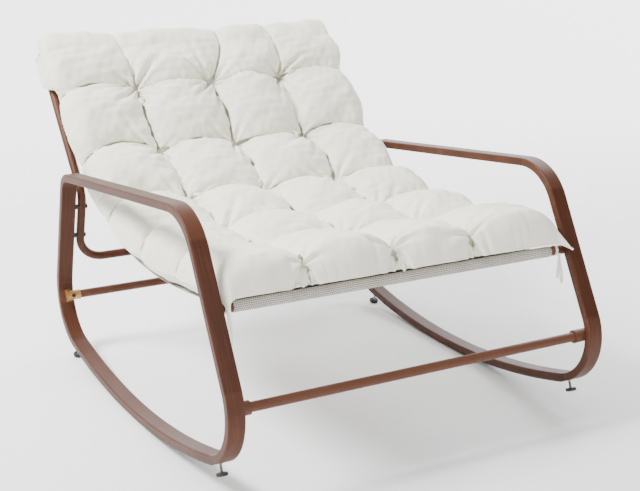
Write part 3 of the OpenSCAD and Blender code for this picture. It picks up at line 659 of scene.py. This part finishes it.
def cushion_plan():
    """The cushion's grid: a, b, x and v of each point, with the creases' bows and slants."""
    A, B = cushion_grid()
    r = np.random.RandomState(11)
    arches = r.uniform(*ARCHES, (ROWS, COLUMNS)) + EDGE_ARCHES
    arches[0] = r.uniform(*FIRST_ARCHES, COLUMNS)
    sways = r.uniform(*SWAYS, (COLUMNS - 1, ROWS + 1))
    bow = np.zeros_like(A)
    for row in range(ROWS):
        near = np.clip(1 - np.abs(B - 1 - row), 0, 1)
        for col in range(COLUMNS):
            u = np.clip(A + EDGE_A - col, 0, 1)
            bow += arches[row, col] * np.sin(np.pi * u) * smooth(near)

    def columns(inner):
        return np.interp(A, KNOTS, [-HALF_W, *inner, HALF_W])

    front_slant = smooth((1 - B) / (1 - B[0, 0]))
    back_slant = np.clip((B - ROWS) / (B[-1, 0] - ROWS), 0, 1) ** 0.9
    even = columns([col * PITCH_X for col in TUFT_COLUMNS])
    X = (even + (columns(FRONT_PLEATS) - even) * front_slant
         + (columns(BACK_PLEATS) - even) * back_slant)
    for sway, col in zip(sways, TUFT_COLUMNS):
        near = np.clip(1 - np.abs(A - col), 0, 1)
        for row in range(ROWS + 1):
            u = np.clip(B - row, 0, 1)
            X = X + sway[row] * np.sin(np.pi * u) * smooth(near)
    half = HALF_W - SIDE_DRAW * (1 - row_fill(B))
    return A, B, X * half / HALF_W, FIRST + (B - 1) * PITCH_V + bow


def fills(A, B, V):
    """How full the form is across and along; the creases fade before they reach the top bar."""
    gx, gv = col_fill(A), row_fill(B)
    for col, ease in enumerate(TOP_ROW_EASE):
        between = np.sin(np.pi * np.clip(A + EDGE_A - col, 0, 1)) ** 0.8
        gv = gv + (1 - gv) * ease * between * (np.abs(B - ROWS) < 0.5)
    for col, ease in zip(TUFT_COLUMNS, TOP_CREASE_EASE):
        gx = gx + (1 - gx) * ease * smooth((B - ROWS) / EASE_B) * (np.abs(A - col) < 0.5)
    ease = np.where(np.abs(A) < 0.5, MIDDLE_END_EASE, END_EASE)
    return gx + (1 - gx) * ease * smooth((V - CUSHION_END + END_EASE_V[0]) / END_EASE_V[1]), gv


def bulged(A, B, X, V, s):
    """The upper face's plan: each pillow's sides lean out over the crease beside it."""
    gx, gv = fills(A, B, V)
    toward_x = np.sign(A - np.floor(A) - 0.5)
    toward_v = np.sign(B - np.floor(B) - 0.5)
    return (X + BULGE * 4 * gx * (1 - gx) * gv * s * toward_x,
            V + BULGE * 4 * gv * (1 - gv) * gx * s * toward_v)


def drawn_back(A, V):
    """How far each crease draws the front edge back, so the front shows as separate pillows."""
    return FRONT_DRAW * (1 - col_fill(A)) * smooth(1 - (V + FRONT) / FRONT_DRAW_V)


def cushion_form():
    """Heights of the cushion's two faces over the sling, a little slimmer than it ends up."""
    A, B, X, V = cushion_plan()
    gx, gv = fills(A, B, V)
    plump = np.random.RandomState(5).uniform(*PLUMPNESS, (ROWS + 1, COLUMNS))
    cell_row = np.clip(np.floor(B), 0, ROWS).astype(int)
    cell_col = np.clip(np.floor(A + EDGE_A), 0, COLUMNS - 1).astype(int)
    full = crown(V) - SWELL + plump[cell_row, cell_col] * col_fill(A) * row_fill(B)
    low_point = tuft_h(V)
    line = low_point + LINE_SHARE * (full - low_point)
    top = low_point + (line - low_point) * (gx + gv - gx * gv) + (full - line) * gx * gv
    end = np.minimum(V + FRONT, (CUSHION_END - V) * BACK_END_SHARE)
    half = HALF_W - SIDE_DRAW * (1 - gv)
    side_round = SIDE_ROUND + CORNER_ROUND * smooth(1 - (V + FRONT) / CORNER_V)
    s = rounding(half - np.abs(X), side_round) * rounding(end, END_ROUND)
    seam = under_h(X, V) + seam_h(V)
    up = seam + (np.maximum(top, seam + LEAST_T) - seam) * s
    low = seam + (under_h(X, V) - seam) * s
    return A, B, X, V, up, low, s


def ears(X, V, pulls):
    """A pull at the cushion's front corners, left and right, that fades away from each."""
    ahead = ((V + FRONT) / EAR_REACH_V) ** 2
    return sum(pull * np.exp(-(((HALF_W - side * X) / EAR_REACH_X) ** 2 + ahead))
               for side, pull in zip((-1, 1), pulls))


def drape(X, V, seam):
    """How far the sides hang down over the back frame beside the top bar."""
    beside = smooth((np.abs(X) - DRAPE_X[0]) / DRAPE_X[1])
    return (seam + DRAPE_DOWN) * beside * smooth((V - LAST_ROW - DRAPE_V[0]) / DRAPE_V[1])


def joined_faces(R, C):
    """Faces of two grids of R by C points that share their rim, and a mask of the rim."""
    rim = np.ones((R, C), bool)
    rim[1:-1, 1:-1] = False
    upper = np.arange(R * C).reshape(R, C)
    under = np.where(rim, upper, upper + R * C)
    faces = []
    for j in range(R - 1):
        for k in range(C - 1):
            faces.append((upper[j, k], upper[j, k + 1], upper[j + 1, k + 1], upper[j + 1, k]))
            faces.append((under[j, k], under[j + 1, k], under[j + 1, k + 1], under[j, k + 1]))
    return np.array(faces), rim


# Cushion stuffing
# How far the cloth may move: on top, more on a full pillow, and on the underside
ROOM_TOP, ROOM_FULL, ROOM_UNDER = 2, 22, 6
TUFT_FILL, RIM_SHARE = 0.3, 0.9
STUFF_FRAMES = 22


def make_cushion(mat):
    A, B, X, V, up, low, s = cushion_form()
    wide = 1 + WIDER / HALF_W * smooth((V - LAST_ROW - WIDER_V[0]) / WIDER_V[1])
    X_up, V_up = bulged(A, B, X, V, s)
    move_x = ears(X, V, EARS_X)
    move_v = drawn_back(A, V) - ears(X, V, EARS_FORWARD)
    lift = -ears(X, V, EARS_DOWN) - drape(X * wide, V, under_h(X, V) + SEAM_H)
    top = on_sling(X_up * wide + move_x, V_up + move_v, up + lift).reshape(-1, 3)
    bottom = on_sling(X * wide + move_x, V + move_v, low + lift).reshape(-1, 3)
    faces, rim = joined_faces(*X.shape)
    used = np.concatenate([np.arange(X.size), X.size + np.nonzero(~rim.ravel())[0]])
    place_of = np.zeros(2 * X.size, int)
    place_of[used] = np.arange(len(used))
    o = new_object("cushion", np.concatenate([top, bottom])[used], place_of[faces], mat)

    def both(field):
        return np.concatenate([field.ravel(), field.ravel()])[used]

    is_top = used < X.size
    side = np.where(is_top, 1.0, 0.0) + both(rim)
    attach("plan", o, np.stack([both(X), both(V), side], 1))
    attach("cell", o, np.stack([both(A), both(B), both(s)], 1))
    gx, gv = both(col_fill(A)), both(row_fill(B))
    held = (~is_top & (both(s) > RIM_SHARE)) | (is_top & (gx + gv < TUFT_FILL))
    room = np.where(is_top, ROOM_TOP + ROOM_FULL * gx * gv * both(s), ROOM_UNDER)
    stuff(o, held, room * MM)
    sub = o.modifiers.new("round", "SUBSURF")
    sub.levels = sub.render_levels = 2
    apply_modifiers(o)
    crease(o)
    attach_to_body(o, "chair")
    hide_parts("cushion")
    return o


def stuff(o, held, room):
    """Fills the closed form: cloth with pressure inside, held at its tufts and underside."""
    start = read(o.data.vertices, "co")
    group = o.vertex_groups.new(name="held")
    group.add([int(i) for i in np.nonzero(held)[0]], 1.0, "REPLACE")
    cloth = o.modifiers.new("stuffing", "CLOTH")
    c = cloth.settings
    c.quality = 5
    c.mass = 0.25
    c.tension_stiffness = c.compression_stiffness = 12
    c.shear_stiffness = 4
    c.bending_stiffness = 0.15
    c.air_damping = 2
    c.use_pressure = True
    c.uniform_pressure_force = 4
    c.shrink_min = -0.10
    c.vertex_group_mass = "held"
    c.effector_weights.gravity = 0
    cloth.collision_settings.use_collision = False
    cloth.collision_settings.use_self_collision = False
    scene = bpy.context.scene
    for f in range(1, STUFF_FRAMES + 1):
        scene.frame_set(f)
    done = o.evaluated_get(bpy.context.evaluated_depsgraph_get())
    move = read(done.to_mesh().vertices, "co") - start
    done.to_mesh_clear()
    far = np.linalg.norm(move, axis=1)
    move *= (np.minimum(far, room) / np.maximum(far, 1e-9))[:, None]
    o.modifiers.clear()
    o.data.vertices.foreach_set("co", (start + move).ravel())
    o.data.update()
    scene.frame_set(1)


# Cushion folds
# Depths, widths and lengths are in millimetres.
TIGHT_DEPTH, TIGHT_W = 18, 5.5
STARS, STAR_SHARE, STAR_REACH, STAR_W, STAR_SPREAD = 8, 1.7, 150, 3.4, 0.10
STAR_BEND, STAR_LENGTH, STAR_DEPTH = 0.004, (40, 110), (4, 11)
PLEAT_V, PLEAT_SIZE = -8.0, 0.7
TOP_FOLD = [(-4, 1150), (-34, 1186), (-62, 1216), (-70, 1250)]
TOP_FOLD_DEPTH, TOP_FOLD_W = 15, 6.5


def fold(along, across, width, length):
    """A pinched fold: a narrow valley between two low lips, fading along its length."""
    q = (across / width) ** 2
    return (1 - 1.4 * q) * np.exp(-q) * smooth(along / 9) * np.exp(-(along / length) ** 2)


def star_folds(x, v):
    """Folds that run out of each tuft and, shorter, out of each front pleat."""
    depth = np.zeros_like(x)
    r = np.random.RandomState(3)
    tufts = [(col * PITCH_X, FIRST + row * PITCH_V, 1.0) for row in range(ROWS) for col in TUFT_COLUMNS]
    pleats = [(pleat, PLEAT_V, PLEAT_SIZE) for pleat in FRONT_PLEATS]
    for x_mid, v_mid, size in tufts + pleats:
        dx, dv = x - x_mid, v - v_mid
        near = np.nonzero(np.hypot(dx, dv) < STAR_REACH)[0]
        dx, dv = dx[near], dv[near]
        for k in range(STARS):
            turn = TWO_PI * (k + r.uniform(-0.35, 0.35)) / STARS
            bend = r.uniform(-STAR_BEND, STAR_BEND)
            length = size * r.uniform(*STAR_LENGTH)
            deep = r.uniform(*STAR_DEPTH)
            along = dx * math.cos(turn) + dv * math.sin(turn)
            across = dv * math.cos(turn) - dx * math.sin(turn) - bend * along * along
            depth[near] += deep * fold(along, across, STAR_W + STAR_SPREAD * np.abs(along), length)
    return depth


def pull_fold(x, v, points, width):
    """A narrow valley along a bent line of the plan, deepest at its start."""
    depth = np.zeros_like(x)
    run = 0.0
    legs = [np.hypot(*np.subtract(q, p)) for p, q in zip(points, points[1:])]
    for p, q, leg in zip(points, points[1:], legs):
        along = ((x - p[0]) * (q[0] - p[0]) + (v - p[1]) * (q[1] - p[1])) / leg
        t = np.clip(along, 0, leg)
        off = np.hypot(x - p[0] - (q[0] - p[0]) * t / leg, v - p[1] - (q[1] - p[1]) * t / leg)
        fade = 1 - 0.8 * (run + t) / sum(legs)
        depth = np.maximum(depth, fade * np.exp(-(off / width) ** 2))
        run += leg
    return depth


def gathers(s, off, deep, length, seed, reach=26):
    """Small gathers along a seam, about one length apart, fading with the distance off it."""
    wander = 2.4 * waves(s, 0 * s, 5 * length, seed)
    strength = np.clip(0.5 + 0.8 * waves(s, s, 110, seed + 1), 0, 1.4)
    valley = (1 - np.abs(np.sin(np.pi * s / length + wander))) ** 2
    return deep * valley * strength * np.exp(-off / reach)


def crease(o):
    """Adds the folds that are finer than the stuffed cloth's grid, along its normals."""
    mesh = o.data
    x, v, side = read(mesh.attributes["plan"].data, "vector").T
    a, b, s = read(mesh.attributes["cell"].data, "vector").T
    co = read(mesh.vertices, "co")
    normal = read(mesh.vertices, "normal")
    col_line = np.abs(a - np.round(a)) * PITCH_X
    row_line = np.abs(b - np.round(b)) * PITCH_V
    inner_col = np.abs(a) < EDGE_A - 0.5
    inner_row = (b > 0.7) & (b < ROWS + 0.3)
    gx, gv = fills(a, b, v)
    tight_x = np.exp(-(col_line / TIGHT_W) ** 2) * (1 - gx) * inner_col
    tight_v = np.exp(-(row_line / TIGHT_W) ** 2) * (1 - gv) * inner_row
    depth = TIGHT_DEPTH * np.maximum(tight_x, tight_v * s)
    depth += STAR_SHARE * star_folds(x, v)
    depth += TOP_FOLD_DEPTH * pull_fold(x, v, TOP_FOLD, TOP_FOLD_W)
    depth += gathers(x, row_line, deep=3.0, length=22, seed=21) * inner_row
    depth += gathers(v, col_line, deep=2.6, length=24, seed=31) * inner_col
    depth += gathers(x, v + FRONT, deep=3.2, length=31, seed=41, reach=24)
    depth += gathers(x, CUSHION_END - v, deep=2.6, length=24, seed=51)
    depth += gathers(v, HALF_W - np.abs(x), deep=3.6, length=22, seed=61)
    depth += 2.2 * waves(x, v, length=75, seed=71) * s
    depth += 1.0 * waves(x, v, length=30, seed=81) * s
    on_top = np.clip(side, 0, 1)
    co -= normal * (depth * on_top * MM)[:, None]
    mesh.vertices.foreach_set("co", co.ravel())
    mesh.update()


# Cushion seam and ties
WELT_W, WELT_T = 4.2, 2.4
TIE_X, TIE_W, TIE_T = 434.0, 8.0, 1.2
RING_R, RING_SLANT, RING_POINTS = BAR_R + 1.0, 1.5, 40
KNOT_OUT, KNOT_DOWN = 3, 5
KNOT_W, KNOT_RX, KNOT_RY, KNOT_H = 3.4, 3.2, 3.0, 4.5
KNOT_TURN, KNOT_POINTS = 12, 30
STRAP_RISE, STRAP_FROM, STRAP_TO, STRAP_POINTS = 5, 0.9, 1.6, 8
TAILS = [{"seed": 1, "out": -5.0, "length": 52}, {"seed": 2, "out": 6.0, "length": 66}]
TAIL_POINTS, TAIL_WOBBLE, TAIL_TWIST = 15, 3.0, 0.9


def make_seam(cushion, mat):
    """The cushion's sewn edge: a thin welt along the rim where its two faces meet."""
    x, v, side = read(cushion.data.attributes["plan"].data, "vector").T
    co = read(cushion.data.vertices, "co")
    rim = np.nonzero(side > 1.99)[0]
    middle = (CUSHION_END - FRONT) / 2
    order = rim[np.argsort(np.arctan2((v[rim] - middle) / middle, x[rim] / HALF_W))]
    verts, faces = sweep(co[order], WELT_W * MM, WELT_T * MM, UP, closed=True)
    o = new_object("cushion_seam", verts, faces, mat)
    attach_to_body(o, "chair")


def curl(points, seed):
    """A hanging tape's line, loosened a little to one side and the other."""
    phase = np.random.RandomState(seed).uniform(0, TWO_PI, 2)
    n = len(points)
    return [(x + TAIL_WOBBLE * math.sin(3.1 * k / n + phase[0]) * k / n,
             y + TAIL_WOBBLE * math.sin(4.3 * k / n + phase[1]) * k / n, z)
            for k, (x, y, z) in enumerate(points)]


def tail_line(knot, out, length):
    """A tape's tail, straight down from the knot and a little out and forwards."""
    x, y, z = knot
    return [(x + out * t, y - 4 - 5 * t, z - 3 - length * t) for t in np.linspace(0, 1, TAIL_POINTS)]


def make_tie(side, mat):
    """A cushion tie: a tape round the seat bar's bare end, its knot and its two tails."""
    x, (y, z) = side * TIE_X, SEAT_BAR
    knot = (x, y - RING_R - KNOT_OUT, z - KNOT_DOWN)
    ring = [(x + RING_SLANT * math.sin(t), y + RING_R * math.cos(t), z + RING_R * math.sin(t))
            for t in np.linspace(0, TWO_PI, RING_POINTS + 1)[:-1]]
    wrap = [(knot[0] + KNOT_RX * math.cos(t), knot[1] - 2 + KNOT_RY * math.sin(t),
             knot[2] + KNOT_H * t / KNOT_TURN - 2) for t in np.linspace(0, KNOT_TURN, KNOT_POINTS)]
    strap = [(x, y - RING_R * math.cos(t), z + RING_R + STRAP_RISE * t)
             for t in np.linspace(STRAP_FROM, STRAP_TO, STRAP_POINTS)]
    tails = [curl(tail_line(knot, tail["out"], tail["length"]), 10 * tail["seed"] + side)
             for tail in TAILS]
    tapes = [(ring, TIE_W, ACROSS, 0.0, True)]
    tapes += [(tail, TIE_W, ACROSS, TAIL_TWIST * side, False) for tail in tails]
    tapes += [(wrap, KNOT_W, UP, 0.0, False), (strap, TIE_W, ACROSS, 0.0, False)]
    verts, faces = [], []
    for line, width, flat_side, turn, closed in tapes:
        v, f = sweep([place(*p) for p in line], width * MM, TIE_T * MM, flat_side, turn, closed)
        faces += [tuple(i + len(verts) for i in face) for face in f]
        verts += v
    o = new_object("tie_right" if side > 0 else "tie_left", verts, faces, mat)
    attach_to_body(o, "chair")
    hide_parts("cushion_ties")


# The scene
make_camera()
make_set()

MATS = {
    "frame_paint": frame_brown(),
    "rubber": black_plain("black_rubber", rough=0.62, grain=300),
    "brass": brass_metal(),
    "black_plastic": black_plain("black_plastic", rough=0.42, grain=500),
    "black_bolts": black_plain("black_bolts", rough=0.3, grain=400, metallic=0.6, base=0.02),
    "steel": bright_steel(),
    "sling_mesh": sling_mesh(),
    "cushion_cloth": cushion_cloth(),
}
for part in frame["record"]["subparts"]:
    for material_slot in nodes[part["node"]].material_slots:
        material_slot.material = MATS[part["material_slot"]]

stem_axes = {joint["child"]: joint["axis"] for joint in frame["joints"]}
for end in ("front", "rear"):
    stem_steel = threaded_steel("thread_" + end, stem_axes["stem_" + end + "_left"])
    for hand in ("left", "right"):
        nodes["foot_stem_" + end + "_" + hand].material_slots[0].material = stem_steel

make_sling(MATS["sling_mesh"])
cushion = make_cushion(MATS["cushion_cloth"])
make_seam(cushion, MATS["cushion_cloth"])
for side in (-1, 1):
    make_tie(side, MATS["cushion_cloth"])
